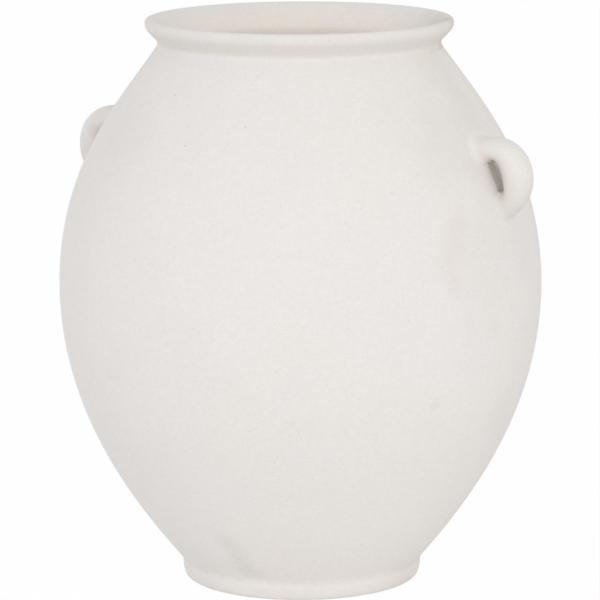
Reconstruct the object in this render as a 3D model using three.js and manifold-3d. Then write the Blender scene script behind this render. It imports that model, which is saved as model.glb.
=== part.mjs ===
// Stoneware vase: a thrown ovoid body with a rolled rim, a low foot ring and two loop handles.
// Each piece is its own solid, luted to its neighbour with a thin film of slip.
// Millimetres, +Z up. The origin is on the ground, at the centre of the foot. The handles lie on the X axis.
import * as THREE from "three";
import { mergeVertices } from "three/addons/utils/BufferGeometryUtils.js";
import Module from "manifold-3d";

const wasm = await Module();
wasm.setup();

const rad = THREE.MathUtils.degToRad;

// Overall form, measured on the outside
const BELLY_RADIUS = 162.6;
const BELLY_HEIGHT = 200;
const NECK_RADIUS = 93.4;
const NECK_HEIGHT = 364;
const SHOULDER_SLOPE = 56;
const SHOULDER_FULLNESS = 84;
const NECK_FULLNESS = 44;
const BASE_RADIUS = 81.4;
const BASE_SLOPE = 51.4;
const BASE_FULLNESS = 34;
const UNDERBELLY_FULLNESS = 94.5;

// Clay thickness
const FLOOR_THICKNESS = 11;
const WALL_AT_BASE = 10.5;
const WALL_AT_BELLY = 8;
const WALL_AT_NECK = 7.4;
const FLOOR_CORNER = 16;

// Throat: the wall is left thick under the rim, and the inside narrows to it like a funnel
const THROAT_RADIUS = 83.6;
const THROAT_DEPTH = 11;
const THROAT_RUN = 14;
const FUNNEL_SLOPE = 58;

// Film of slip between two luted pieces
const SLIP = 0.3;

// Rim collar
const RIM_HEIGHT = 16;
const RIM_RADIUS = 103.1;
const RIM_NOSE = 8.5;
const RIM_LIP = 2.6;
const RIM_CREST = 1;
const RIM_INNER_EDGE = 3.5;
const RIM_FUNNEL = 9;

// Foot ring
const FOOT_HEIGHT = 12.4;
const FOOT_RADIUS = 81;
const FOOT_TOP_RADIUS = 80.2;
const FOOT_EDGE_HEIGHT = 9.6;
const FOOT_EDGE_DEPTH = 2.8;
const FOOT_RING_WIDTH = 21;
const FOOT_INNER_EDGE = 2.5;
const FOOT_INNER_DRAFT = 3;

// Loop handles: an ear of clay round a narrow slot, with its back sunk in the wall. The share is how far up
// from belly to neck its middle sits, and a squareness of 2 is an ellipse.
const HANDLE_SHARE = 0.508;
const HANDLE_SETBACK = 0.9;
const HANDLE_REACH = 26.25;
const HANDLE_RISE = 27.2;
const HANDLE_DROP = 28.1;
const HANDLE_NOD = 9;
const HANDLE_WIDTH = 24;
const HANDLE_SQUARENESS = 2.2;
const SLOT_WIDTH = 6.2;
const SLOT_LENGTH = 21.8;
const SLOT_RAISE = 1.5;
const SLOT_SQUARENESS = 2.8;
const SLOT_EDGE_SQUARENESS = 3.4;
const ROOT_SPREAD = 1.5;
const ROOT_FILLET = 5;
const LEFT_HANDLE_RAISE = 1.9;
const RIGHT_HANDLE_RAISE = -1.9;

// Facets
const TURNS = 64;
const WALL_STEPS = 14;
const INNER_STEPS = 10;
const HANDLE_SIDES = 16;
const HANDLE_STEPS = 40;

// Matte fired clay
const CLAY = { color: new THREE.Color().setRGB(0.8, 0.77, 0.735), roughness: 0.9, metalness: 0 };

const point = (radius, height) => new THREE.Vector2(radius, height);

// A point at a distance along a direction given in degrees above the horizontal
const along = (from, degrees, distance) =>
  point(from.x + distance * Math.cos(rad(degrees)), from.y + distance * Math.sin(rad(degrees)));

// Outside of the body: two cubic curves that meet upright at the belly
const baseEdge = point(BASE_RADIUS, FOOT_HEIGHT + SLIP);
const belly = point(BELLY_RADIUS, BELLY_HEIGHT);
const neckEdge = point(NECK_RADIUS, NECK_HEIGHT);
const lowerWall = new THREE.CubicBezierCurve(
  baseEdge,
  along(baseEdge, BASE_SLOPE, BASE_FULLNESS),
  along(belly, -90, UNDERBELLY_FULLNESS),
  belly,
);
const upperWall = new THREE.CubicBezierCurve(
  belly,
  along(belly, 90, SHOULDER_FULLNESS),
  along(neckEdge, -SHOULDER_SLOPE, NECK_FULLNESS),
  neckEdge,
);

// Radius of the body's outside at a height, found by halving along the curve
function wallRadiusAt(height) {
  const curve = height < BELLY_HEIGHT ? lowerWall : upperWall;
  let low = 0;
  let high = 1;
  while (high - low > 1e-7) {
    const middle = (low + high) / 2;
    if (curve.getPoint(middle).y < height) low = middle;
    else high = middle;
  }
  return curve.getPoint(low).x;
}

// Points of a curve moved square to it, to its right for a positive distance that may change along the curve
function offsetPoints(curve, steps, distanceAt) {
  return Array.from({ length: steps + 1 }, (_, i) => {
    const t = i / steps;
    const tangent = curve.getTangent(t);
    const distance = distanceAt(t);
    const place = curve.getPoint(t);
    return point(place.x + tangent.y * distance, place.y - tangent.x * distance);
  });
}

// Solid of revolution about +Z from a profile drawn as radius and height
function turned(profile) {
  return new THREE.LatheGeometry(profile, TURNS).rotateX(Math.PI / 2);
}

function sameSpot(a, b) {
  return a.distanceTo(b) < 1e-6;
}

// One outline from several runs of points, without the doubles where two runs meet
function outline(...runs) {
  return runs.flat().filter((p, i, all) => i === 0 || !sameSpot(p, all[i - 1]));
}

const lerp = THREE.MathUtils.lerp;

// Thrown body: a wall that thins towards the neck, on a flat floor with a rounded corner inside
function vesselBody() {
  const floorTop = FOOT_HEIGHT + SLIP + FLOOR_THICKNESS;
  const innerUpper = offsetPoints(upperWall, INNER_STEPS, (t) => -lerp(WALL_AT_BELLY, WALL_AT_NECK, t));
  const innerLower = offsetPoints(lowerWall, INNER_STEPS, (t) => -lerp(WALL_AT_BASE, WALL_AT_BELLY, t));
  const wallFoot = innerLower.find((p) => p.y > floorTop + FLOOR_CORNER / 2);
  const innerNeck = point(NECK_RADIUS - WALL_AT_NECK, NECK_HEIGHT);
  const throat = point(THROAT_RADIUS, NECK_HEIGHT - THROAT_DEPTH);
  const wallTop = innerUpper.findLast((p) => p.y < throat.y - THROAT_RUN);
  const underThroat = new THREE.CubicBezierCurve(
    wallTop,
    along(wallTop, 180 - SHOULDER_SLOPE, THROAT_RUN / 2),
    along(throat, -90, THROAT_RUN / 2),
    throat,
  );
  const intoThroat = new THREE.CubicBezierCurve(
    throat,
    along(throat, 90, THROAT_DEPTH / 3),
    along(innerNeck, FUNNEL_SLOPE - 180, THROAT_DEPTH / 3),
    innerNeck,
  );
  const corner = new THREE.QuadraticBezierCurve(
    point(wallFoot.x - FLOOR_CORNER, floorTop),
    point(wallFoot.x - FLOOR_CORNER / 3, floorTop),
    wallFoot,
  );
  return turned(
    outline(
      [point(0, baseEdge.y)],
      lowerWall.getPoints(WALL_STEPS),
      upperWall.getPoints(WALL_STEPS),
      intoThroat.getPoints(5).reverse(),
      underThroat.getPoints(5).reverse(),
      innerUpper.filter((p) => p.y < wallTop.y).reverse(),
      innerLower.filter((p) => p.y > wallFoot.y).reverse(),
      corner.getPoints(5).reverse(),
      [point(0, floorTop)],
    ),
  );
}

// Rolled rim: a straight flank out of the crease, a rounded nose and lip, and a funnel back in to the throat
function rimCollar() {
  const seat = NECK_HEIGHT + SLIP;
  const top = NECK_HEIGHT + RIM_HEIGHT;
  const widest = point(RIM_RADIUS, top - RIM_LIP);
  const crease = point(NECK_RADIUS, seat);
  const noseCentre = point(RIM_RADIUS - RIM_NOSE, widest.y);
  const toCrease = Math.atan2(crease.y - noseCentre.y, crease.x - noseCentre.x);
  const flankEnd = toCrease + Math.acos(RIM_NOSE / noseCentre.distanceTo(crease));
  const nose = new THREE.EllipseCurve(noseCentre.x, noseCentre.y, RIM_NOSE, RIM_NOSE, flankEnd, 0, false);
  const lip = new THREE.EllipseCurve(RIM_RADIUS - RIM_LIP, widest.y, RIM_LIP, RIM_LIP, 0, Math.PI / 2, false);
  const crest = point(RIM_RADIUS - RIM_LIP - RIM_CREST, top);
  const innerNeck = point(NECK_RADIUS - WALL_AT_NECK, seat);
  const funnel = new THREE.CubicBezierCurve(
    crest,
    along(crest, 180, RIM_INNER_EDGE),
    along(innerNeck, FUNNEL_SLOPE, RIM_FUNNEL),
    innerNeck,
  );
  return turned(outline([crease], nose.getPoints(5), lip.getPoints(4), funnel.getPoints(8), [crease]));
}

// Foot ring: flat bearing face, a soft rounded outer edge, and a drafted inside
function footRing() {
  const innerBottom = FOOT_RADIUS - FOOT_RING_WIDTH;
  const outerEdge = new THREE.EllipseCurve(
    FOOT_RADIUS - FOOT_EDGE_DEPTH,
    FOOT_EDGE_HEIGHT,
    FOOT_EDGE_DEPTH,
    FOOT_EDGE_HEIGHT,
    -Math.PI / 2,
    0,
    false,
  );
  const innerEdge = new THREE.EllipseCurve(
    innerBottom + FOOT_INNER_EDGE,
    FOOT_INNER_EDGE,
    FOOT_INNER_EDGE,
    FOOT_INNER_EDGE,
    Math.PI,
    1.5 * Math.PI,
    false,
  );
  const topInner = point(innerBottom - FOOT_INNER_DRAFT, FOOT_HEIGHT);
  return turned(
    outline(
      [topInner],
      innerEdge.getPoints(3),
      outerEdge.getPoints(6),
      [point(FOOT_TOP_RADIUS, FOOT_HEIGHT)],
      [topInner],
    ),
  );
}

// Closed surface through rings of points that go round and meet again
function ringLoft(rings) {
  const sides = rings[0].length;
  const at = (ring, side) => (ring % rings.length) * sides + (side % sides);
  const faces = rings.flatMap((points, ring) =>
    points.flatMap((_, side) => {
      const a = at(ring, side);
      const b = at(ring, side + 1);
      const c = at(ring + 1, side + 1);
      const d = at(ring + 1, side);
      return [a, b, c, a, c, d];
    }),
  );
  const geometry = new THREE.BufferGeometry().setFromPoints(rings.flat());
  geometry.setIndex(faces);
  return geometry;
}

function solidOf(geometry) {
  const bare = geometry.clone();
  bare.deleteAttribute("normal");
  bare.deleteAttribute("uv");
  const merged = mergeVertices(bare, 1e-4);
  return new wasm.Manifold(
    new wasm.Mesh({
      numProp: 3,
      vertProperties: merged.attributes.position.array,
      triVerts: new Uint32Array(merged.index.array),
    }),
  );
}

function geometryOf(solid) {
  const mesh = solid.getMesh();
  const geometry = new THREE.BufferGeometry();
  geometry.setAttribute("position", new THREE.BufferAttribute(mesh.vertProperties, 3));
  geometry.setIndex(new THREE.BufferAttribute(mesh.triVerts, 1));
  return geometry;
}

// The body's outside grown by the slip film, solid right through: what a handle's ends are cut to
function handleSeat() {
  const outside = [
    ...offsetPoints(lowerWall, WALL_STEPS, () => SLIP),
    ...offsetPoints(upperWall, WALL_STEPS, () => SLIP),
  ];
  return solidOf(turned(outline([point(0, outside[0].y)], outside, [point(0, outside.at(-1).y)])));
}

// A cosine or sine drawn towards a square's corner
function squared(value, squareness) {
  return Math.sign(value) * Math.abs(value) ** (2 / squareness);
}

// Loop handle on +X: sections of a boxy oval, each from the slot to the ear's outline in the XZ plane. The
// outline nods a little downwards, the slot lies along the wall, and the ear spreads where it meets the wall.
function loopHandle(raise) {
  const height = lerp(BELLY_HEIGHT, NECK_HEIGHT, HANDLE_SHARE);
  const centre = point(wallRadiusAt(height) - HANDLE_SETBACK, height + raise);
  const slotHeight = centre.y + SLOT_RAISE;
  const slotCentre = point(wallRadiusAt(slotHeight), slotHeight);
  const slotEnd = SLOT_LENGTH / 2;
  const wallBelow = wallRadiusAt(slotHeight - slotEnd);
  const wallAbove = wallRadiusAt(slotHeight + slotEnd);
  const lean = Math.atan2(wallBelow - wallAbove, SLOT_LENGTH);
  const origin = point(0, 0);
  const rings = Array.from({ length: HANDLE_STEPS }, (_, i) => {
    const turn = (2 * Math.PI * i) / HANDLE_STEPS;
    const across = Math.cos(turn);
    const up = Math.sin(turn);
    const outer = point(HANDLE_REACH * across, (up > 0 ? HANDLE_RISE : HANDLE_DROP) * up)
      .rotateAround(origin, rad(-HANDLE_NOD))
      .add(centre);
    const inner = point(
      SLOT_WIDTH * squared(across, SLOT_SQUARENESS),
      slotEnd * squared(up, SLOT_SQUARENESS),
    )
      .rotateAround(origin, lean)
      .add(slotCentre);
    const middle = inner.clone().lerp(outer, 0.5);
    const outwards = outer.clone().sub(inner).normalize();
    const clear = Math.max(middle.x - wallRadiusAt(middle.y), 0);
    const spread = ROOT_SPREAD * Math.exp(-((clear / ROOT_FILLET) ** 2));
    const halfThickness = (outer.distanceTo(inner) + spread) / 2;
    const halfWidth = (HANDLE_WIDTH + spread) / 2;
    return Array.from({ length: HANDLE_SIDES }, (_unused, side) => {
      const angle = (2 * Math.PI * side) / HANDLE_SIDES;
      const squareness = Math.cos(angle) > 0 ? HANDLE_SQUARENESS : SLOT_EDGE_SQUARENESS;
      const out = halfThickness * squared(Math.cos(angle), squareness);
      const aside = halfWidth * squared(Math.sin(angle), squareness);
      return new THREE.Vector3(middle.x + outwards.x * out, aside, middle.y + outwards.y * out);
    });
  });
  return geometryOf(solidOf(ringLoft(rings)).subtract(seat));
}

const seat = handleSeat();
const vase = new THREE.Group();

function place(name, geometry, turn = 0) {
  const mesh = new THREE.Mesh(geometry, new THREE.MeshStandardMaterial(CLAY));
  mesh.name = name;
  mesh.rotation.z = turn;
  vase.add(mesh);
}

place("vessel_body", vesselBody());
place("rim_collar", rimCollar());
place("foot_ring", footRing());
place("handle_right", loopHandle(RIGHT_HANDLE_RAISE));
place("handle_left", loopHandle(LEFT_HANDLE_RAISE), Math.PI);

export default vase;
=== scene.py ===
"""Stoneware vase: a thrown body, a rolled rim, a foot ring and two loop handles, all in matte off-white clay.

Metres, +Z up, the origin on the ground under the middle of the foot. The handles lie on the X axis.
"""

import bpy
import numpy as np
from mathutils import Matrix, Vector


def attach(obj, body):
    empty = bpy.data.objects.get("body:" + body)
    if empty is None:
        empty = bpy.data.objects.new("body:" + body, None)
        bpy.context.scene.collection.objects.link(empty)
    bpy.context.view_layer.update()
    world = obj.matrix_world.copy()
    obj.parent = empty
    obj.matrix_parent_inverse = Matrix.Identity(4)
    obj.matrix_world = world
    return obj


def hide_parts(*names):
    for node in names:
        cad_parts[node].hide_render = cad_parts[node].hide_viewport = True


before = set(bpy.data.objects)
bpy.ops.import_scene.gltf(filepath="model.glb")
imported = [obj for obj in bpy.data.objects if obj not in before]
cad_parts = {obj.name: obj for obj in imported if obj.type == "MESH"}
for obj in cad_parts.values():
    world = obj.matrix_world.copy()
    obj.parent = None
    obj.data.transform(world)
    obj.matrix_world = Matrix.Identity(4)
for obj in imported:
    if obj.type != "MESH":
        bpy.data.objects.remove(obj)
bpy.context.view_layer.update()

# Thrown body
# One hollow ovoid of pale stoneware, widest above the middle, thrown on the wheel and left unglazed.
# Its wall thins towards the neck, and it stands on a flat floor that is closed by the foot ring.
BELLY_RADIUS = 0.1626
BELLY_HEIGHT = 0.200
NECK_RADIUS = 0.0934
NECK_HEIGHT = 0.364
SHOULDER_SLOPE = 56
SHOULDER_FULLNESS = 0.084
NECK_FULLNESS = 0.044
BASE_RADIUS = 0.0814
BASE_HEIGHT = 0.0127
BASE_SLOPE = 51.4
BASE_FULLNESS = 0.034
UNDERBELLY_FULLNESS = 0.0945
FLOOR_TOP = 0.0237
WALL_AT_BASE = 0.0105
WALL_AT_BELLY = 0.008
WALL_AT_NECK = 0.0074
FLOOR_CORNER = 0.016
CORNER_TOP = 0.040
CORNER_RISE = 0.006
THROAT_RADIUS = 0.0836
THROAT_DEPTH = 0.011
THROAT_RUN = 0.014
FUNNEL_SLOPE = 58
OUT_OF_ROUND = 0.00025
THROWING_RIDGE = 0.00003
THROWING_PITCH = 0.011
TRUE_FOOT = 0.02
TRUE_NECK = 0.362
BODY_TURNS = 256
WALL_STEPS = 91
UNDERSIDE_RINGS = 41
FLOOR_RINGS = 30
# Painted light inside the body, and on the outside lighter towards the foot
INSIDE_TONING = -1.85
LOWER_BODY_LIGHT = -0.5
LOWER_BODY_LIGHT_TOP = 0.11
LOWER_BODY_LIGHT_FADE = 0.09


def step(start, degrees, distance):
    """The point a distance from start, in a direction in degrees above the horizontal."""
    angle = np.radians(degrees)
    return start + distance * np.array([np.cos(angle), np.sin(angle)])


def bezier(points, t):
    """Cubic curve: the four points weighted by the Bernstein polynomials of t."""
    a, b, c, d = (np.asarray(p, dtype=float) for p in points)
    t = np.asarray(t, dtype=float)[:, None]
    return (1 - t) ** 3 * a + 3 * (1 - t) ** 2 * t * b + 3 * (1 - t) * t ** 2 * c + t ** 3 * d


def normals_of(line):
    """Unit normals to the right of a line of points, from the differences of its neighbours."""
    along = np.gradient(line, axis=0)
    along /= np.linalg.norm(along, axis=1)[:, None]
    return np.stack([along[:, 1], -along[:, 0]], axis=1)


def turned(profile, turns, closed):
    """Surface of revolution: vertex (i, j) is the profile's radius i at angle j, at the profile's height i.

    An open profile starts and ends on the axis, and each end is one vertex with a fan of triangles.
    A closed profile joins its last row to its first.
    """
    angle = np.arange(turns) * (2 * np.pi / turns)
    rows = profile if closed else profile[1:-1]
    radius, height = rows[:, :1], rows[:, 1:]
    grid = np.stack(
        [radius * np.cos(angle), radius * np.sin(angle), np.broadcast_to(height, (len(rows), turns))], axis=-1
    )
    i = np.arange(len(rows) if closed else len(rows) - 1)[:, None]
    j = np.arange(turns)[None, :]
    below, above = i * turns, (i + 1) % len(rows) * turns
    beside = (j + 1) % turns
    quads = np.stack([below + j, below + beside, above + beside, above + j], axis=-1).reshape(-1, 4)
    vertices = grid.reshape(-1, 3)
    if closed:
        return vertices, quads.tolist()
    first, last = len(vertices), len(vertices) + 1
    top = (len(rows) - 1) * turns
    start = np.stack([np.full(turns, first), beside[0], j[0]], axis=-1)
    end = np.stack([np.full(turns, last), top + j[0], top + beside[0]], axis=-1)
    poles = np.array([[0, 0, profile[0, 1]], [0, 0, profile[-1, 1]]])
    return np.vstack([vertices, poles]), quads.tolist() + start.tolist() + end.tolist()


def smooth(x):
    """0 below 0, 1 above 1, and 3x squared minus 2x cubed between."""
    x = np.clip(x, 0, 1)
    return x * x * (3 - 2 * x)


def by_hand(vertices):
    """Draws the wall inwards a little: a slow out-of-round, and faint ridges that climb a pitch in each turn.

    Both fade out towards the foot and the neck, so the foot stands flat and the rim seats.
    """
    x, y, z = vertices.T
    angle = np.arctan2(y, x)
    free = smooth((z - TRUE_FOOT) / 0.06) * smooth((TRUE_NECK - z) / 0.05)
    round_off = 0.5 + 0.5 * np.sin(2 * angle + 0.9 + 6 * z)
    ridge = 0.5 + 0.5 * np.sin(2 * np.pi * z / THROWING_PITCH + angle)
    inwards = free * (OUT_OF_ROUND * round_off + THROWING_RIDGE * ridge)
    radius = np.maximum(np.hypot(x, y), 1e-9)
    return vertices * np.stack([1 - inwards / radius, 1 - inwards / radius, np.ones_like(z)], axis=1)


def clay_piece(name, vertices, faces, painted_shading, material, *nodes):
    """Puts a shape into the scene as one smooth piece, in place of the CAD nodes named last.

    The fourth argument gives each vertex its painted light and shade: 1 for full painted shade, darker and
    warm, -1 for full painted light, and beyond -1, as far as -2, for painted warm light bounced inside.
    """
    mesh = bpy.data.meshes.new(name)
    mesh.from_pydata(vertices.tolist(), [], faces)
    mesh.polygons.foreach_set("use_smooth", np.ones(len(faces), dtype=bool))
    tones = mesh.attributes.new("painted_shading", "FLOAT", "POINT")
    tones.data.foreach_set("value", np.asarray(painted_shading, dtype=np.float32))
    mesh.materials.append(material)
    mesh.update()
    piece = bpy.data.objects.new(name, mesh)
    bpy.context.scene.collection.objects.link(piece)
    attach(piece, "root")
    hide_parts(*nodes)


class Term:
    """A value in a material's nodes. Arithmetic adds Math nodes, and node() adds any other kind."""

    def __init__(self, tree, socket=None):
        self.tree = tree
        self.socket = socket

    def node(self, kind, settings, inputs, output=0):
        """Adds a node with its settings, then the values or links of its sockets, and gives one output."""
        made = self.tree.nodes.new(kind)
        for key, value in settings.items():
            setattr(made, key, value)
        for key, value in inputs.items():
            if isinstance(value, Term):
                self.tree.links.new(value.socket, made.inputs[key])
            else:
                made.inputs[key].default_value = value
        return Term(self.tree, made.outputs[output] if len(made.outputs) else None)

    def maths(self, operation, a, b):
        """One Math node on two numbers or links."""
        return self.node("ShaderNodeMath", {"operation": operation}, {0: a, 1: b})

    def __add__(self, other):
        return self.maths("ADD", self, other)

    def __radd__(self, other):
        return self.maths("ADD", other, self)

    def __sub__(self, other):
        return self.maths("SUBTRACT", self, other)

    def __rsub__(self, other):
        return self.maths("SUBTRACT", other, self)

    def __mul__(self, other):
        return self.maths("MULTIPLY", self, other)

    def __rmul__(self, other):
        return self.maths("MULTIPLY", other, self)

    def noise(self, scale, detail, place):
        """Soft noise about 0, mostly within a quarter either way."""
        sockets = {"Vector": place, "Scale": scale, "Detail": detail, "Roughness": 0.55}
        return self.node("ShaderNodeTexNoise", {}, sockets) - 0.5

    def distance(self, spot):
        """How far this place is from a spot."""
        sockets = {0: self, 1: spot}
        return self.node("ShaderNodeVectorMath", {"operation": "DISTANCE"}, sockets, output="Value")

    def between(self, low, high):
        """0 where this value is low and 1 where it is high, with a smooth change."""
        sockets = {"Value": self, "From Min": low, "From Max": high}
        return self.node("ShaderNodeMapRange", {"interpolation_type": "SMOOTHSTEP"}, sockets)

    def mix(self, factor, a, b):
        """Colour a where factor is 0 and colour b where it is 1."""
        return self.node("ShaderNodeMix", {"data_type": "RGBA"}, {0: factor, 6: a, 7: b}, output=2)


# Colours of the fired clay, of the sand in it and of the marks on it, and of painted shade and painted light
CLAY = (0.835, 0.802, 0.772, 1)
CLAY_COOL = (0.826, 0.800, 0.786, 1)
CLAY_WARM = (0.832, 0.788, 0.742, 1)
# Painted shade, then painted light: on the outside, inside the rim, and as warm light bounced in the throat
CLAY_SHADED = (0.770, 0.733, 0.692, 1)
CLAY_LIT = (0.90, 0.866, 0.834, 1)
CLAY_LIT_INSIDE = (0.915, 0.860, 0.805, 1)
CLAY_THROAT_BOUNCE = (0.872, 0.790, 0.715, 1)
GRIT_AND_SLOT_SHADOW = (0.50, 0.43, 0.37, 1)
SMOKE_AND_PIT_SHADE = (0.66, 0.635, 0.61, 1)
NICK = (0.64, 0.55, 0.53, 1)
TOAST_AND_SLOT_SHADE = (0.765, 0.68, 0.625, 1)

# Noise cells in each metre, sizes and depths in metres, and how strongly each shows
CLOUDS = 7
BLOTCHES = 24
RAGGED_EDGES = 60
SHEEN = 90
RIPPLES = 210
SPECKLES = 300
SAND_SIZE = 0.0013
GRIT_SPACING = 0.0031
CLOUD_TONE = 0.55
BLOTCH_TONE = 0.03
SPECKLE_TONE = 0.072
SAND_TONE = 0.11
GRIT_TONE = 0.25
PIT_TONE = 0.4
SAND_RELIEF = 0.000035
RIPPLE_RELIEF = 0.00004
PIT_DEPTH = 0.0003
DRY_CLAY = 0.9
SHEEN_CHANGE = 0.12


def stoneware(name, light_colour=CLAY_LIT, smudges=(), pits=()):
    """Matte fired clay: cloudy off-white, sandy to the touch, with scattered grit.

    Each smudge is (place, radius, strength, colour), and each pit is (place, radius). A smudge covers those
    before it in the list.
    """
    material = bpy.data.materials.new(name)
    material.use_nodes = True
    material.node_tree.nodes.clear()
    clay = Term(material.node_tree)
    place = clay.node("ShaderNodeTexCoord", {}, {}, output="Object")

    cloud = clay.noise(CLOUDS, 2, place)
    colour = clay.mix(cloud.between(0.0, 0.22) * CLOUD_TONE, CLAY, CLAY_WARM)
    colour = clay.mix(cloud.between(0.0, -0.22) * CLOUD_TONE, colour, CLAY_COOL)

    # The vertex attribute paints shade, darker and warmer, above 0, light below 0, and warm bounced light
    # below -1
    painted_shading = clay.node("ShaderNodeAttribute", {"attribute_name": "painted_shading"}, {}, output="Fac")
    colour = clay.mix(clay.maths("MAXIMUM", painted_shading, 0.0), colour, CLAY_SHADED)
    colour = clay.mix(clay.maths("MAXIMUM", painted_shading * -1, 0.0), colour, light_colour)
    colour = clay.mix(clay.maths("MAXIMUM", painted_shading * -1 - 1, 0.0), colour, CLAY_THROAT_BOUNCE)

    uneven = clay.noise(RAGGED_EDGES, 3, place)
    for spot, radius, strength, stain in smudges:
        mask = (place.distance(spot) + uneven * radius).between(radius, radius * 0.15) * strength
        colour = clay.mix(mask, colour, stain)

    sand = clay.noise(1 / SAND_SIZE, 1, place)
    grains = {"Vector": place, "Scale": 1 / GRIT_SPACING}
    grit_distance = clay.node("ShaderNodeTexVoronoi", {}, grains, output="Distance")
    grit_number = clay.node("ShaderNodeTexVoronoi", {}, grains, output="Color")
    grit_chance = clay.node("ShaderNodeSeparateColor", {}, {0: grit_number})
    grit = grit_distance.between(0.22, 0.08) * grit_chance.between(0.3, 1.0)
    colour = clay.mix(grit * GRIT_TONE, colour, GRIT_AND_SLOT_SHADOW)

    speckle, blotch = clay.noise(SPECKLES, 2, place), clay.noise(BLOTCHES, 3, place)
    tone = 1 + sand * SAND_TONE + speckle * SPECKLE_TONE + blotch * BLOTCH_TONE
    colour = clay.node("ShaderNodeHueSaturation", {}, {"Color": colour, "Value": tone})

    relief = sand * SAND_RELIEF + clay.noise(RIPPLES, 3, place) * RIPPLE_RELIEF
    # Each pit is sunk a little and darkened with grey: the grey is painted shade in its hollow
    for spot, radius in pits:
        dip = place.distance(spot).between(radius, radius * 0.4)
        relief = relief - dip * PIT_DEPTH
        colour = clay.mix(dip * PIT_TONE, colour, SMOKE_AND_PIT_SHADE)

    normal = clay.node("ShaderNodeBump", {}, {"Height": relief, "Distance": 1.0, "Strength": 1.0})
    finish = {
        "Base Color": colour,
        "Roughness": DRY_CLAY + clay.noise(SHEEN, 2, place) * SHEEN_CHANGE,
        "Normal": normal,
        "Specular IOR Level": 0.3,
    }
    shader = clay.node("ShaderNodeBsdfPrincipled", {}, finish)
    clay.node("ShaderNodeOutputMaterial", {}, {"Surface": shader})
    return material


def spaced(start, end, count):
    """Places evenly spaced from start to end."""
    return [tuple(place) for place in np.linspace(start, end, count)]


base_edge = np.array([BASE_RADIUS, BASE_HEIGHT])
belly = np.array([BELLY_RADIUS, BELLY_HEIGHT])
neck_edge = np.array([NECK_RADIUS, NECK_HEIGHT])
above_base, below_belly = step(base_edge, BASE_SLOPE, BASE_FULLNESS), step(belly, -90, UNDERBELLY_FULLNESS)
above_belly, below_neck = step(belly, 90, SHOULDER_FULLNESS), step(neck_edge, -SHOULDER_SLOPE, NECK_FULLNESS)
lower_wall = (base_edge, above_base, below_belly, belly)
upper_wall = (belly, above_belly, below_neck, neck_edge)

share = np.linspace(0, 1, WALL_STEPS)
outside = np.vstack([bezier(lower_wall, share), bezier(upper_wall, share)[1:]])
lower_thickness = WALL_AT_BASE + (WALL_AT_BELLY - WALL_AT_BASE) * share
upper_thickness = WALL_AT_BELLY + (WALL_AT_NECK - WALL_AT_BELLY) * share
thickness = np.concatenate([lower_thickness, upper_thickness[1:]])
inside = outside - normals_of(outside) * thickness[:, None]
corner_end = inside[inside[:, 1] > CORNER_TOP][0]
corner = bezier(
    (
        [corner_end[0] - FLOOR_CORNER, FLOOR_TOP],
        [corner_end[0] - FLOOR_CORNER / 2.2, FLOOR_TOP],
        [corner_end[0] - FLOOR_CORNER / 6, FLOOR_TOP + CORNER_RISE],
        corner_end,
    ),
    np.linspace(0, 1, 14),
)
wall_top = inside[inside[:, 1] < NECK_HEIGHT - THROAT_DEPTH - THROAT_RUN][-1]
throat = np.array([THROAT_RADIUS, NECK_HEIGHT - THROAT_DEPTH])
inner_neck = np.array([NECK_RADIUS - WALL_AT_NECK, NECK_HEIGHT])
above_wall, below_throat = step(wall_top, 180 - SHOULDER_SLOPE, THROAT_RUN / 2), throat - [0, THROAT_RUN / 2]
under_throat = bezier((wall_top, above_wall, below_throat, throat), np.linspace(0, 1, 14))
above_throat = throat + [0, THROAT_DEPTH / 3]
below_mouth = step(inner_neck, FUNNEL_SLOPE - 180, THROAT_DEPTH / 3)
into_throat = bezier((throat, above_throat, below_mouth, inner_neck), np.linspace(0, 1, 20))
inner_wall = inside[(inside[:, 1] > corner_end[1]) & (inside[:, 1] < wall_top[1])][::2]
underside = np.linspace([0, BASE_HEIGHT], [BASE_RADIUS, BASE_HEIGHT], UNDERSIDE_RINGS)[:-1]
floor = np.linspace([0, FLOOR_TOP], [corner[0, 0], FLOOR_TOP], FLOOR_RINGS)[:-1]
body_profile = np.vstack(
    [underside, outside, into_throat[::-1], under_throat[-2::-1], inner_wall[::-1], corner[::-1], floor[::-1]]
)
body_vertices, body_faces = turned(body_profile, BODY_TURNS, closed=False)

# Painted light: the inside lighter and warm, like light bounced inside, and the outside lighter towards the
# foot
is_inside = np.arange(len(body_profile)) >= len(underside) + len(outside)
lower_body_light = LOWER_BODY_LIGHT * smooth((LOWER_BODY_LIGHT_TOP - body_profile[:, 1]) / LOWER_BODY_LIGHT_FADE)
body_toning = np.where(is_inside, INSIDE_TONING, lower_body_light)
body_toning = np.concatenate([np.repeat(body_toning[1:-1], BODY_TURNS), body_toning[[0, -1]]])

# Painted shade: darker patches, mostly on the right shoulder and side, where less light falls
shaded_areas = [
    ((0.1320, -0.0300, 0.3100), 0.060, 0.50, CLAY_SHADED),
    ((0.1040, 0.0000, 0.3480), 0.032, 0.50, CLAY_SHADED),
    ((0.1150, 0.0080, 0.3340), 0.022, 0.40, CLAY_SHADED),
    ((0.1240, 0.0040, 0.3210), 0.026, 0.45, CLAY_SHADED),
    ((0.1535, -0.0420, 0.2360), 0.055, 0.38, CLAY_SHADED),
    ((0.1494, 0.0000, 0.1237), 0.024, 0.35, CLAY_SHADED),
    ((0.1590, 0.0040, 0.2340), 0.034, 0.30, CLAY_SHADED),
    ((-0.0710, -0.1110, 0.3080), 0.046, 0.34, CLAY_SHADED),
]
finger_smear = [
    (place, 0.0125, 0.16, SMOKE_AND_PIT_SHADE) for place in spaced((0.0015, -0.1068, 0.0450), (0.0095, -0.0848, 0.0176), 6)
]
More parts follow.
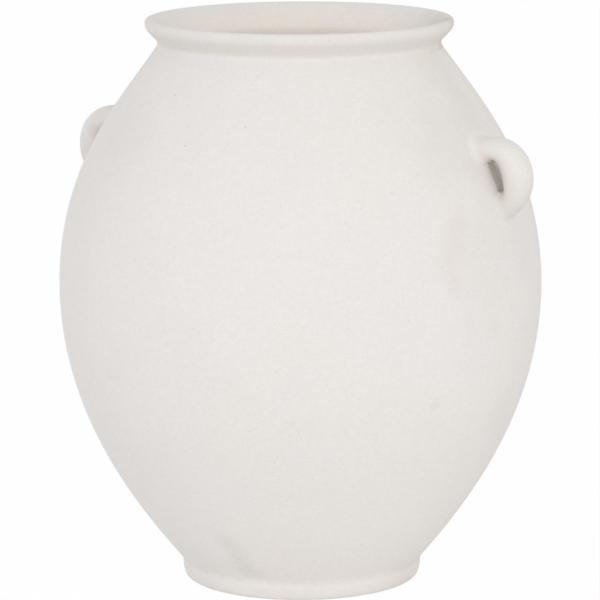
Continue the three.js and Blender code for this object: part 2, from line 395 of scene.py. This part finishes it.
toasted = [
    ((0.1427, -0.0560, 0.2625), 0.016, 0.16, TOAST_AND_SLOT_SHADE),
    ((0.1443, -0.0625, 0.2475), 0.018, 0.16, TOAST_AND_SLOT_SHADE),
    ((0.1460, -0.0660, 0.2325), 0.018, 0.16, TOAST_AND_SLOT_SHADE),
    ((0.1475, -0.0659, 0.2217), 0.012, 0.16, TOAST_AND_SLOT_SHADE),
    ((0.1595, -0.0308, 0.1900), 0.010, 0.16, TOAST_AND_SLOT_SHADE),
]
# Warm tan stain at each slot, dark enough inside the slot to be painted shade as well
slot_stain_and_shade = [
    ((0.1425, 0.0020, 0.2840), 0.0135, 0.85, TOAST_AND_SLOT_SHADE),
    ((-0.1425, 0.0000, 0.2880), 0.0135, 0.85, TOAST_AND_SLOT_SHADE),
    ((0.1395, -0.0065, 0.2965), 0.0065, 0.85, TOAST_AND_SLOT_SHADE),
]
# Painted shadow: a dark grey line along the left edge of the right slot
slot_painted_shadow = [
    (place, 0.0034, 0.45, GRIT_AND_SLOT_SHADOW) for place in spaced((0.1424, -0.0032, 0.2898), (0.1493, -0.0039, 0.2739), 8)
]
grey_spot = [((0.1374, -0.0724, 0.1434), 0.006, 0.22, SMOKE_AND_PIT_SHADE)]
body_pits = [
    ((-0.0344, -0.1065, 0.3384), 0.0010),
    ((-0.0154, -0.1230, 0.3214), 0.0008),
    ((0.0250, -0.1204, 0.3230), 0.0008),
    ((-0.0133, -0.1309, 0.3096), 0.0009),
    ((0.0659, -0.0678, 0.3623), 0.0010),
]
body_marks = shaded_areas + finger_smear + toasted + slot_stain_and_shade + slot_painted_shadow + grey_spot
body_clay = stoneware("bare clay of the body", smudges=body_marks, pits=body_pits)
clay_piece("body_thrown", by_hand(body_vertices), body_faces, body_toning, body_clay, "vessel_body")

# Rim collar
# A thick ring of clay at the top of the neck, folded out and rolled over: a straight flank, a rounded nose,
# a narrow lip, and a funnel back in to the throat. Wet clay is smeared into the crease and over the joint.
RIM_HEIGHT = 0.016
RIM_RADIUS = 0.1031
RIM_NOSE = 0.0085
RIM_LIP = 0.0026
RIM_CREST = 0.001
RIM_INNER_EDGE = 0.0035
RIM_FUNNEL = 0.009
CREASE_SMEAR = 0.0042
WARM_THROAT_TOP = 0.369
WARM_THROAT_FADE = 0.012
RIM_TURNS = 320
FEATHER = np.array([0.0, 0.00002, 0.00007, 0.0002, 0.0007])
FEATHER_RUN = np.array([0.0, 0.2, 0.4, 0.6, 0.8])
THROAT_FEATHER = np.array([-0.00001, -0.00001, 0.0, 0.00004, 0.00015, 0.0006])


def arc(centre, radius_across, radius_up, start, end, count):
    """Points on an ellipse about centre, from angle start to angle end in radians."""
    angle = np.linspace(start, end, count)
    return np.asarray(centre) + np.stack([radius_across * np.cos(angle), radius_up * np.sin(angle)], axis=1)


def smear(before, crease, after, count):
    """Quadratic curve from before to after, pulled towards the crease: the hollow left by a wiping finger."""
    t = np.linspace(0, 1, count)[:, None]
    return (1 - t) ** 2 * before + 2 * (1 - t) * t * crease + t ** 2 * after


def feathered(line, depths):
    """Points of a line that leaves a smear's edge, each moved left of it, into the clay, by its depth."""
    return line - normals_of(line) * np.asarray(depths)[:, None]


def on_rim(degrees, radius, height):
    """A place on the rim, at an angle in degrees from the right handle."""
    return (radius * np.cos(np.radians(degrees)), radius * np.sin(np.radians(degrees)), height)


rim_top = NECK_HEIGHT + RIM_HEIGHT
crease = neck_edge
nose_centre = np.array([RIM_RADIUS - RIM_NOSE, rim_top - RIM_LIP])
to_crease = crease - nose_centre
flank_end = np.arctan2(to_crease[1], to_crease[0]) + np.arccos(RIM_NOSE / np.hypot(*to_crease))
nose = arc(nose_centre, RIM_NOSE, RIM_NOSE, flank_end, 0, 26)
lip = arc([RIM_RADIUS - RIM_LIP, rim_top - RIM_LIP], RIM_LIP, RIM_LIP, 0, np.pi / 2, 16)
crest = np.array([RIM_RADIUS - RIM_LIP - RIM_CREST, rim_top])
under_crest, above_neck = crest - [RIM_INNER_EDGE, 0], step(inner_neck, FUNNEL_SLOPE, RIM_FUNNEL)
funnel = bezier((crest, under_crest, above_neck, inner_neck), np.linspace(0, 1, 36))
into_wall = feathered(into_throat[::-1][1:12:2], THROAT_FEATHER)
under_rim = bezier(upper_wall, 1 - CREASE_SMEAR / (3 * NECK_FULLNESS) * (1 + FEATHER_RUN))
flank_start = crease + (nose[0] - crease) * (CREASE_SMEAR / np.hypot(*(nose[0] - crease)))
rim_hollow = smear(under_rim[0], crease, flank_start, 16)
rim_heart = np.array([[NECK_RADIUS - 0.004, NECK_HEIGHT - 0.0045]])
under_feather = feathered(under_rim, -FEATHER)[:0:-1]
rim_profile = np.vstack([under_feather, rim_hollow, nose, lip[1:], crest, funnel[1:], into_wall, rim_heart])
rim_vertices, rim_faces = turned(rim_profile, RIM_TURNS, closed=True)

# Painted shade in the crease and, less, on the nose and the lip; painted light down the funnel, and warm
# painted bounce light at the throat
funnel_rows = len(rim_profile) - len(under_feather) - len(rim_hollow) - len(nose) - len(lip) + 1
funnel_toning = 0.3 - 1.2 * smooth(np.linspace(0, 1.5, funnel_rows))
throat_toning = -smooth((WARM_THROAT_TOP - rim_profile[-funnel_rows:, 1]) / WARM_THROAT_FADE)
rim_toning = np.concatenate(
    [
        np.zeros(len(under_feather)),
        smooth(np.linspace(-0.5, 1.5, len(rim_hollow))),
        0.5 + 0.5 * smooth(np.linspace(1, 0, len(nose))),
        np.linspace(0.5, 0.3, len(lip) - 1),
        funnel_toning + throat_toning,
    ]
)
rim_toning = np.repeat(rim_toning, RIM_TURNS)

# Painted shade over the rim's right side
shaded_side = [(on_rim(24, 0.1, 0.372), 0.075, 0.95, CLAY_SHADED)]
smoky_side = [(on_rim(19, 0.099, 0.3685), 0.019, 0.75, SMOKE_AND_PIT_SHADE)]
nick = [(on_rim(degrees, 0.0978, 0.3795), 0.0034, 0.5, NICK) for degrees in np.arange(10, 26, 1.5)]
tan_spot = [(on_rim(5, 0.0965, 0.368), 0.004, 0.6, TOAST_AND_SLOT_SHADE)]
rim_marks = shaded_side + smoky_side + nick + tan_spot
rim_clay = stoneware("bare clay of the rim", light_colour=CLAY_LIT_INSIDE, smudges=rim_marks)
clay_piece("rim_rolled", by_hand(rim_vertices), rim_faces, rim_toning, rim_clay, "rim_collar")

# Foot ring
# A low ring of clay luted under the body and trimmed with a soft outer edge. Only its flat underside bears.
# The crease to the body is wiped smooth like the one under the rim.
FOOT_HEIGHT = 0.0124
FOOT_RADIUS = 0.081
FOOT_EDGE_HEIGHT = 0.0096
FOOT_EDGE_DEPTH = 0.0028
FOOT_RING_WIDTH = 0.021
FOOT_INNER_EDGE = 0.0025
FOOT_INNER_DRAFT = 0.003
FOOT_SMEAR = 0.0026
FOOT_CREASE = (0.0003, 0.0006)
FOOT_TONING = -0.55

inner_bottom = FOOT_RADIUS - FOOT_RING_WIDTH
outer_centre = [FOOT_RADIUS - FOOT_EDGE_DEPTH, FOOT_EDGE_HEIGHT]
foot_outside = arc(outer_centre, FOOT_EDGE_DEPTH, FOOT_EDGE_HEIGHT, -np.pi / 2, 0, 26)
inner_centre = [inner_bottom + FOOT_INNER_EDGE, FOOT_INNER_EDGE]
foot_inside = arc(inner_centre, FOOT_INNER_EDGE, FOOT_INNER_EDGE, np.pi, 1.5 * np.pi, 10)
top_inner = np.array([inner_bottom - FOOT_INNER_DRAFT, FOOT_HEIGHT])
bearing = np.linspace([foot_inside[-1, 0], 0], [foot_outside[0, 0], 0], 12)[1:-1]
above_foot = bezier(lower_wall, FOOT_SMEAR / (3 * BASE_FULLNESS) * (1 + FEATHER_RUN))
foot_hollow = smear(foot_outside[-1], base_edge - FOOT_CREASE, above_foot[0], 12)[1:]
above_feather = feathered(above_foot, FEATHER)[1:]
foot_heart = np.array([[BASE_RADIUS - 0.004, BASE_HEIGHT + 0.001], [top_inner[0], BASE_HEIGHT + 0.0004]])
foot_profile = np.vstack(
    [top_inner, foot_inside, bearing, foot_outside, foot_hollow, above_feather, foot_heart]
)
foot_vertices, foot_faces = turned(foot_profile, BODY_TURNS, closed=True)
# Painted light: the whole foot lighter
foot_toning = np.full(len(foot_vertices), FOOT_TONING)
foot_marks = [((0.0807, -0.0074, 0.006), 0.028, 0.22, TOAST_AND_SLOT_SHADE)]
foot_clay = stoneware("bare clay of the foot", smudges=foot_marks)
clay_piece("foot_trimmed", by_hand(foot_vertices), foot_faces, foot_toning, foot_clay, "foot_ring")

# Loop handles
# Two ears of clay, each round a narrow slot that lies along the wall, with the back sunk in the shoulder. The
# roots are pressed on and smeared with a wet finger, so they spread into the wall. One sits 4 mm higher.
HANDLE_SHARE = 0.508
HANDLE_SETBACK = 0.0009
HANDLE_REACH = 0.02625
HANDLE_RISE = 0.0272
HANDLE_DROP = 0.0281
HANDLE_NOD = 9
HANDLE_WIDTH = 0.024
HANDLE_SQUARENESS = 2.2
SLOT_WIDTH = 0.0056
SLOT_LENGTH = 0.0218
SLOT_RAISE = 0.0015
SLOT_SQUARENESS = 4.2
SLOT_EDGE_SQUARENESS = 2.0
TOP_SMEAR = 0.0066
BOTTOM_SMEAR = 0.0044
LEFT_RAISE = 0.0019
RIGHT_RAISE = -0.0019
HANDLE_SIDES = 96
HANDLE_STEPS = 150
SMEAR_STEPS = 22
HAND_WAVER = 0.00015
ROOT_CLEARANCE = 0.0012
ROOT_DEPTH = 0.003

wall_line = np.vstack(
    [bezier(lower_wall, np.linspace(0.7, 1, 400)), bezier(upper_wall, np.linspace(0, 0.9, 1200))[1:]]
)
wall_normals = normals_of(wall_line)


def wall_distance(points):
    """Signed distance from the body's outside: along the normal of the nearest point of its profile."""
    radius = np.hypot(points[..., 0], points[..., 1])
    order = np.searchsorted(wall_line[:, 1], points[..., 2])
    place = np.clip(order, 1, len(wall_line) - 1)
    for _ in range(4):
        away = np.stack([radius, points[..., 2]], axis=-1) - wall_line[place]
        normal = wall_normals[place]
        slide = away[..., 1] * normal[..., 0] - away[..., 0] * normal[..., 1]
        pitch = np.hypot(*(wall_line[place] - wall_line[place - 1]).T).T
        place = np.clip(place + np.rint(slide / pitch).astype(int), 1, len(wall_line) - 1)
    away = np.stack([radius, points[..., 2]], axis=-1) - wall_line[place]
    return (away * wall_normals[place]).sum(axis=-1)


def tilted(points, degrees):
    """Points turned about the origin by an angle in degrees, anticlockwise as seen with X right and Z up."""
    angle = np.radians(degrees)
    x, z = points[..., 0], points[..., 1]
    return np.stack([x * np.cos(angle) - z * np.sin(angle), x * np.sin(angle) + z * np.cos(angle)], axis=-1)


def boxy(angle, squareness):
    """Cosine and sine of an angle, both divided so that their powers of the squareness add up to 1."""
    cosine, sine = np.cos(angle), np.sin(angle)
    size = (np.abs(cosine) ** squareness + np.abs(sine) ** squareness) ** (1 / squareness)
    return cosine / size, sine / size


class Ear:
    """One handle on +X: sections of a boxy oval, each from the slot to the ear's outline in the XZ plane."""

    def __init__(self, rise):
        def wall_radius(height):
            return np.interp(height, wall_line[:, 1], wall_line[:, 0])

        height = BELLY_HEIGHT + HANDLE_SHARE * (NECK_HEIGHT - BELLY_HEIGHT)
        slot_height = height + rise + SLOT_RAISE
        fall = wall_radius(slot_height - SLOT_LENGTH / 2) - wall_radius(slot_height + SLOT_LENGTH / 2)
        self.centre = np.array([wall_radius(height) - HANDLE_SETBACK, height + rise])
        self.slot_centre = np.array([wall_radius(slot_height), slot_height])
        self.lean = np.degrees(np.arctan2(fall, SLOT_LENGTH))

    def section(self, turn):
        """Middle, outward direction and half thickness of the section at an angle of the ear.

        The outline is half an ellipse above and half a longer one below, nodded down. The slot is a boxy oval
        that leans with the wall. The thickness wavers a little, as in clay shaped by hand.
        """
        cosine, sine = np.cos(turn), np.sin(turn)
        height = np.where(sine > 0, HANDLE_RISE, HANDLE_DROP)
        outline = np.stack([HANDLE_REACH * cosine, height * sine], axis=-1)
        outer = self.centre + tilted(outline, -HANDLE_NOD)
        along, up = boxy(turn, SLOT_SQUARENESS)
        slot = np.stack([SLOT_WIDTH * along, SLOT_LENGTH / 2 * up], axis=-1)
        inner = self.slot_centre + tilted(slot, self.lean)
        length = np.linalg.norm(outer - inner, axis=-1)
        waver = HAND_WAVER * np.abs(np.sin(3 * turn + 0.6)) * cosine ** 2
        return (outer + inner) / 2, (outer - inner) / length[..., None], length / 2 - waver

    def nearest(self, place):
        """Angle whose section runs through a place.

        It starts at the place's bearing from the centre. Newton steps mend it, on the cross product of the
        section's direction and the way from its middle to the place.
        """

        def miss(turn):
            middle, outwards, _ = self.section(turn)
            way = place - middle
            return outwards[..., 0] * way[..., 1] - outwards[..., 1] * way[..., 0]

        bearing = tilted(place - self.centre, HANDLE_NOD)
        turn = np.arctan2(bearing[..., 1] / HANDLE_RISE, bearing[..., 0] / HANDLE_REACH)
        for _ in range(8):
            slope = (miss(turn + 1e-3) - miss(turn - 1e-3)) / 2e-3
            turn = turn - np.clip(miss(turn) / np.minimum(slope, -1e-3), -0.25, 0.25)
        return turn

    def surface(self, turn, side):
        """Point of the ear's skin: its section's boxy cosine outwards and boxy sine along Y."""
        turn, side = np.broadcast_arrays(turn, side)
        middle, outwards, half = self.section(turn)
        out, across = boxy(side, np.where(np.cos(side) > 0, HANDLE_SQUARENESS, SLOT_EDGE_SQUARENESS))
        skin = middle + outwards * (half * out)[..., None]
        return np.stack([skin[..., 0], HANDLE_WIDTH / 2 * across, skin[..., 1]], axis=-1)

    def distance(self, points):
        """Signed distance from the skin, measured along the line to the middle of the section."""
        place = points[..., [0, 2]]
        middle, outwards, half = self.section(self.nearest(place))
        out = ((place - middle) * outwards).sum(axis=-1)
        power = np.where(out > 0, HANDLE_SQUARENESS, SLOT_EDGE_SQUARENESS)
        share_out = np.abs(out / half) ** power
        share_across = np.abs(points[..., 1] / (HANDLE_WIDTH / 2)) ** power
        stretch = (share_out + share_across) ** (1 / power)
        reach = np.hypot(out, points[..., 1])
        return reach - reach / np.maximum(stretch, 1e-9)


def blended(ear, points, middle_height):
    """Union of ear and wall with a hollow of clay between them.

    It is the smaller of the distances a and b, less a quarter of k times h squared. h is how far a and b are
    from being k apart, as a share of k. k shrinks from the top root to the bottom.
    """
    a, b = ear.distance(points), wall_distance(points)
    k = TOP_SMEAR + (BOTTOM_SMEAR - TOP_SMEAR) * smooth((middle_height - points[..., 2]) / 0.02 + 0.5)
    h = np.maximum(k - np.abs(a - b), 0) / k
    return np.minimum(a, b) - h * h * k / 4


def settle(ear, points, middle_height):
    """Moves points on to the blended surface, by Newton steps along its gradient from central differences."""
    nudge = 2e-5
    for _ in range(5):
        value = blended(ear, points, middle_height)
        slope = np.stack(
            [
                blended(ear, points + axis, middle_height) - blended(ear, points - axis, middle_height)
                for axis in np.eye(3) * nudge
            ],
            axis=-1,
        ) / (2 * nudge)
        points = points - slope * (value / np.maximum((slope ** 2).sum(axis=-1), 0.2))[..., None]
    return points


def crossing(ear, side, start, end):
    """Angle of the ear, between start and end, at which its skin comes out of the wall, for each side."""
    turn = np.linspace(start, end, 500)[:, None]
    clear = wall_distance(ear.surface(turn, side[None, :])) - ROOT_CLEARANCE
    first = (clear > 0).argmax(axis=0)
    k = np.arange(len(side))
    a, b = clear[first - 1, k], clear[first, k]
    return turn[first - 1, 0] + (turn[first, 0] - turn[first - 1, 0]) * (-a) / (b - a)


def loop_handle(rise):
    """Grid of the ear's visible skin, with a skirt of smeared clay at each root, which ends inside the wall.

    Rows go from the top root's middle, sunk in the wall, out along its skirt, round the ear and back in.
    Painted shade goes round the slot and under the ear, and a little painted light on the top root.
    """
    ear = Ear(rise)
    side = np.arange(HANDLE_SIDES) * (2 * np.pi / HANDLE_SIDES)
    top = crossing(ear, side, np.pi, 0)
    bottom = crossing(ear, side, -np.pi, 0)
    share = np.linspace(0, 1, HANDLE_STEPS)[:, None]
    body = ear.surface(top + (bottom - top) * share, side[None, :])

    def skirt(edge, reach):
        """From the root's edge outwards over the wall: away from the root's middle, in the wall's plane."""
        middle = edge.mean(axis=0)
        outwards = edge - middle
        radius = np.hypot(edge[:, 0], edge[:, 1])
        out, up = (np.interp(edge[:, 2], wall_line[:, 1], wall_normals[:, n]) for n in (0, 1))
        normal = np.stack([out * edge[:, 0] / radius, out * edge[:, 1] / radius, up], axis=-1)
        outwards -= normal * (outwards * normal).sum(axis=-1, keepdims=True)
        outwards /= np.linalg.norm(outwards, axis=-1, keepdims=True)
        step_out = np.linspace(0, 1 + FEATHER_RUN[-1] / 2, SMEAR_STEPS + len(FEATHER))[1:, None, None]
        return edge + outwards * reach * step_out, normal

    top_skirt, top_normal = skirt(body[0], TOP_SMEAR)
    bottom_skirt, bottom_normal = skirt(body[-1], BOTTOM_SMEAR)
    rows = settle(ear, np.concatenate([top_skirt[::-1], body, bottom_skirt]), ear.centre[1])
    feather = FEATHER[1:, None, None]
    rows[: len(FEATHER) - 1] -= top_normal * feather[::-1]
    rows[-len(FEATHER) + 1 :] -= bottom_normal * feather
    poles = rows[[0, -1]].mean(axis=1) - [ROOT_DEPTH, 0, 0]
    count = len(rows)
    here = np.arange(count - 1)[:, None] * HANDLE_SIDES
    onward = here + HANDLE_SIDES
    j = np.arange(HANDLE_SIDES)[None, :]
    beside = (j + 1) % HANDLE_SIDES
    quads = np.stack([here + j, onward + j, onward + beside, here + beside], axis=-1).reshape(-1, 4)
    first, last = count * HANDLE_SIDES, count * HANDLE_SIDES + 1
    end = (count - 1) * HANDLE_SIDES
    start_fan = np.stack([np.full(HANDLE_SIDES, first), j[0], beside[0]], axis=-1)
    end_fan = np.stack([np.full(HANDLE_SIDES, last), end + beside[0], end + j[0]], axis=-1)
    vertices = np.vstack([rows.reshape(-1, 3), poles])
    # Painted shade round the slot and under the ear, and painted light on the top root
    towards_wall = smooth(-np.cos(side) * 1.3 - 0.1)
    unlit, rising = np.zeros(len(top_skirt)), np.linspace(0, 1, len(top_skirt))
    round_slot = np.concatenate([unlit, np.sin(np.pi * share[:, 0]), unlit])[:, None]
    below = np.concatenate([unlit, smooth((share[:, 0] - 0.5) / 0.4), rising[::-1]])[:, None]
    above = np.concatenate([rising, smooth(1 - share[:, 0] / 0.15), unlit])[:, None]
    painted_shading = np.maximum(round_slot ** 0.5 * towards_wall, 0.95 * below) - 0.2 * above
    painted_shading = np.append(painted_shading.ravel(), [0, 0])
    return vertices, quads.tolist() + start_fan.tolist() + end_fan.tolist(), painted_shading


# Warm tan stain by the slots on the ears, dark enough in the right slot to be painted shade too; the right
# ear also takes the painted slot shadow
right_marks = [
    ((0.1400, -0.0090, 0.2972), 0.0085, 0.9, TOAST_AND_SLOT_SHADE),
    ((0.1465, 0.0000, 0.2830), 0.0125, 0.9, TOAST_AND_SLOT_SHADE),
] + slot_painted_shadow
left_marks = [((-0.1540, -0.0115, 0.2955), 0.0065, 0.5, TOAST_AND_SLOT_SHADE)]
for name, node, rise, facing, marks in (
    ("handle_right_loop", "handle_right", RIGHT_RAISE, 1, right_marks),
    ("handle_left_loop", "handle_left", LEFT_RAISE, -1, left_marks),
):
    vertices, faces, painted_shading = loop_handle(rise)
    placed = by_hand(vertices * [facing, facing, 1])
    clay_piece(name, placed, faces, painted_shading, stoneware("bare clay of " + name, smudges=marks), node)

# Floor and daylight
# A pale floor with the vase's faint shadow, under an even white sky. Two soft lamps stand in front: a key
# lamp to the right, and a cooler and wider fill lamp to the left.
WHITE = (1, 1, 1, 1)
FLOOR_WHITE = (0.95, 0.95, 0.95, 1)
FLOOR_GLOW = 0.97
FLOOR_REACH = 6
SKY_LEVEL = 0.76
LAMP_DISTANCE = 2.4
LAMP_AIM = (0, 0, 0.2)

floor_mesh = bpy.data.meshes.new("studio_floor")
floor_corners = [(x * FLOOR_REACH, y * FLOOR_REACH, 0) for x, y in ((-1, -1), (1, -1), (1, 1), (-1, 1))]
floor_mesh.from_pydata(floor_corners, [], [(0, 1, 2, 3)])
studio_floor = bpy.data.objects.new("studio_floor", floor_mesh)
bpy.context.scene.collection.objects.link(studio_floor)
floor_paint = bpy.data.materials.new("white floor")
floor_paint.use_nodes = True
floor_paint.node_tree.nodes.clear()
paint = Term(floor_paint.node_tree)
seen = paint.node("ShaderNodeLightPath", {}, {}, output="Is Camera Ray")
matte = paint.node("ShaderNodeBsdfDiffuse", {}, {"Color": FLOOR_WHITE})
glow = paint.node("ShaderNodeEmission", {}, {"Color": WHITE, "Strength": 1.0})
cover = paint.node("ShaderNodeMixShader", {}, {0: seen * FLOOR_GLOW, 1: matte, 2: glow})
paint.node("ShaderNodeOutputMaterial", {}, {"Surface": cover})
floor_mesh.materials.append(floor_paint)

sky = bpy.data.worlds.new("white studio")
bpy.context.scene.world = sky
sky.use_nodes = True
sky.node_tree.nodes.clear()
air = Term(sky.node_tree)
seen_ray = air.node("ShaderNodeLightPath", {}, {}, output="Is Camera Ray")
glossy_ray = air.node("ShaderNodeLightPath", {}, {}, output="Is Glossy Ray")
clear_ray = air.node("ShaderNodeLightPath", {}, {}, output="Is Transmission Ray")
direct = air.maths("MAXIMUM", air.maths("MAXIMUM", seen_ray, glossy_ray), clear_ray)
level = SKY_LEVEL + direct * (1 - SKY_LEVEL)
light = air.node("ShaderNodeBackground", {}, {"Color": WHITE, "Strength": level})
air.node("ShaderNodeOutputWorld", {}, {"Surface": light})


def towards(azimuth, elevation):
    """Direction from the vase to an azimuth, counted from the front to the right, and an elevation."""
    across = np.cos(elevation)
    return Vector((np.sin(azimuth) * across, -np.cos(azimuth) * across, np.sin(elevation)))


for name, azimuth, elevation, size, power, colour in (
    ("key lamp", 48, 18, 0.5, 10.2, (1, 1, 1)),
    ("fill lamp", -45, 17, 1.0, 5.5, (0.88, 0.91, 1)),
):
    lamp_data = bpy.data.lights.new(name, "AREA")
    lamp_data.shape = "SQUARE"
    lamp_data.size = size
    lamp_data.energy = power
    lamp_data.color = colour
    lamp = bpy.data.objects.new(name, lamp_data)
    bpy.context.scene.collection.objects.link(lamp)
    azimuth, elevation = np.radians([azimuth, elevation])
    way = towards(azimuth, elevation)
    lamp.location = Vector(LAMP_AIM) + way * LAMP_DISTANCE
    lamp.rotation_euler = (-way).to_track_quat("-Z", "Y").to_euler()

# Camera
# A long lens a little above the shoulder, turned 28 degrees to the right of the front.
VIEW_AZIMUTH = np.radians(28.2)
VIEW_ELEVATION = np.radians(10.74)
VIEW_DISTANCE = 2.405
VIEW_TARGET = (0, 0, 0.18818)
VIEW_ROLL = np.radians(0.27)
VIEW_SHIFT = -0.55
BELLY_SEEN = 0.1625
PIXELS_PER_RADIUS = 240.25
IMAGE_SIZE = 600
SENSOR_WIDTH = 36

away = VIEW_DISTANCE / np.cos(VIEW_ELEVATION)
back = towards(VIEW_AZIMUTH, VIEW_ELEVATION)
camera_data = bpy.data.cameras.new("camera")
camera_data.sensor_width = SENSOR_WIDTH
camera_data.lens = PIXELS_PER_RADIUS / BELLY_SEEN * away * SENSOR_WIDTH / IMAGE_SIZE
camera_data.shift_x = VIEW_SHIFT / IMAGE_SIZE
camera = bpy.data.objects.new("camera", camera_data)
bpy.context.scene.collection.objects.link(camera)
roll = Matrix.Rotation(-VIEW_ROLL, 3, "Z")
camera.matrix_world = Matrix.LocRotScale(
    Vector(VIEW_TARGET) + back * away, (-back).to_track_quat("-Z", "Y").to_matrix() @ roll, None
)
bpy.context.scene.camera = camera
bpy.context.scene.view_settings.view_transform = "Standard"
